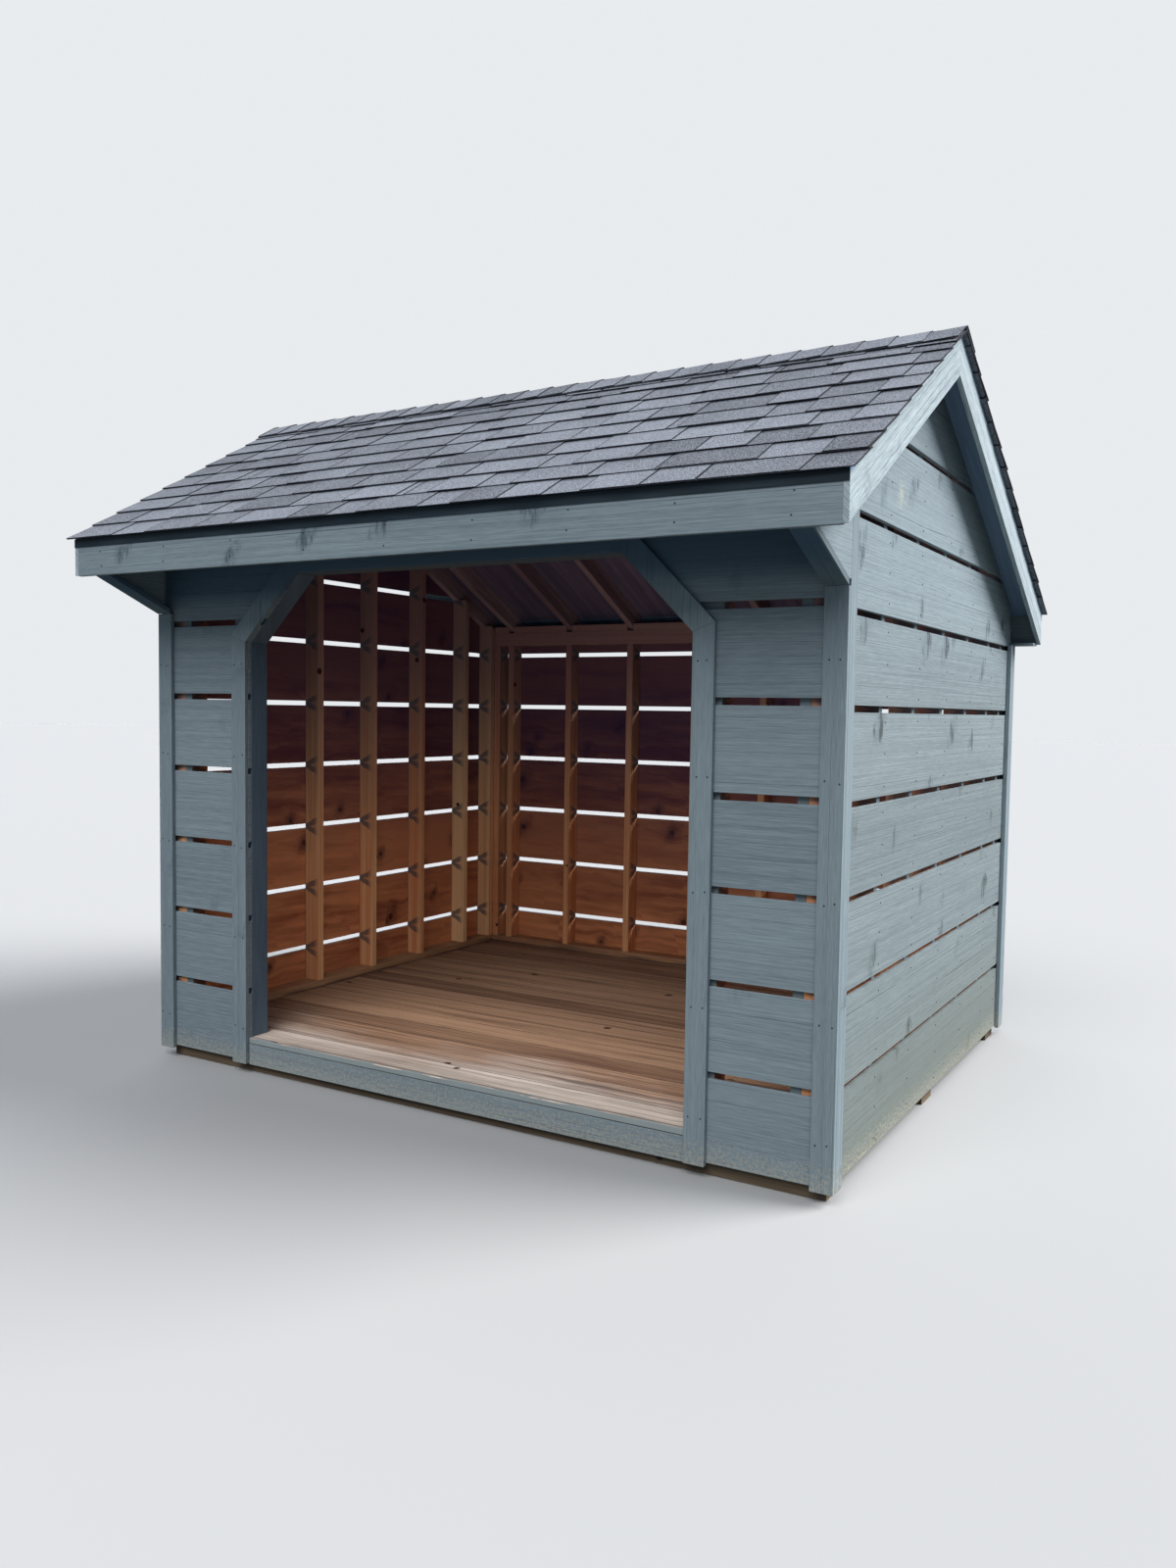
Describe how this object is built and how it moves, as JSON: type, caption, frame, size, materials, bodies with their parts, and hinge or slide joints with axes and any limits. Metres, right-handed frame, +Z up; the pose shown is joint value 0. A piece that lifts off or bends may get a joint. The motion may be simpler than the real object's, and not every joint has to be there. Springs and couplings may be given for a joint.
{
  "type": "log store",
  "caption": "Open-fronted firewood shed with gapped painted board walls, a boarded floor, an off-centre shingled gable roof and a deep front overhang.",
  "frame": {"origin": "on the ground under the middle of the roof's outline", "axes": "+X runs along the front to the right as seen from the front, +Y goes from the open front to the back, +Z is up"},
  "size_m": [3.38, 2.9531, 2.9536],
  "materials": {
    "wall_paint": "grey-green paint on rough boards, worn at the foot",
    "trim_paint": "the same grey-green paint on planed trim",
    "framing": "weathered softwood with a reddish stain",
    "floor_wood": "worn bare boards, greyer towards the front",
    "skid_wood": "rough treated timber",
    "roof_boarding": "dark stained sheathing",
    "shingles": "charcoal mineral granules on asphalt felt",
    "drip_metal": "dark satin paint"
  },
  "bodies": {
    "root": {"left_wall_boards": "wall_paint", "right_wall_boards": "wall_paint", "back_wall_boards": "wall_paint", "front_left_boards": "wall_paint", "front_right_boards": "wall_paint", "header_boards": "wall_paint", "sill_board": "wall_paint", "opening_side_trims": "trim_paint", "opening_corner_trims": "trim_paint", "opening_head_trim": "trim_paint", "front_corner_trims": "trim_paint", "front_side_strips": "trim_paint", "back_corner_trims": "trim_paint", "front_fascia": "trim_paint", "back_fascia": "trim_paint", "back_soffit": "trim_paint", "front_rakes": "trim_paint", "back_rakes": "trim_paint", "return_sides": "trim_paint", "return_trims": "trim_paint", "rim_joists": "framing", "floor_joists": "framing", "side_bottom_plates": "framing", "cross_bottom_plates": "framing", "left_wall_studs": "framing", "right_wall_studs": "framing", "back_wall_studs": "framing", "front_wall_studs": "framing", "back_top_plate": "framing", "front_header": "framing", "front_top_plate": "framing", "knee_braces": "framing", "jamb_boards": "framing", "front_rafters": "framing", "back_rafters": "framing", "ridge_board": "framing", "rafter_blocks": "framing", "floor_boards": "floor_wood", "skid_front": "skid_wood", "skid_middle": "skid_wood", "skid_back": "skid_wood", "front_sheathing": "roof_boarding", "back_sheathing": "roof_boarding", "front_shingles": "shingles", "back_shingles": "shingles", "ridge_cap": "shingles", "drip_edges": "drip_metal"}
  },
  "joints": []
}
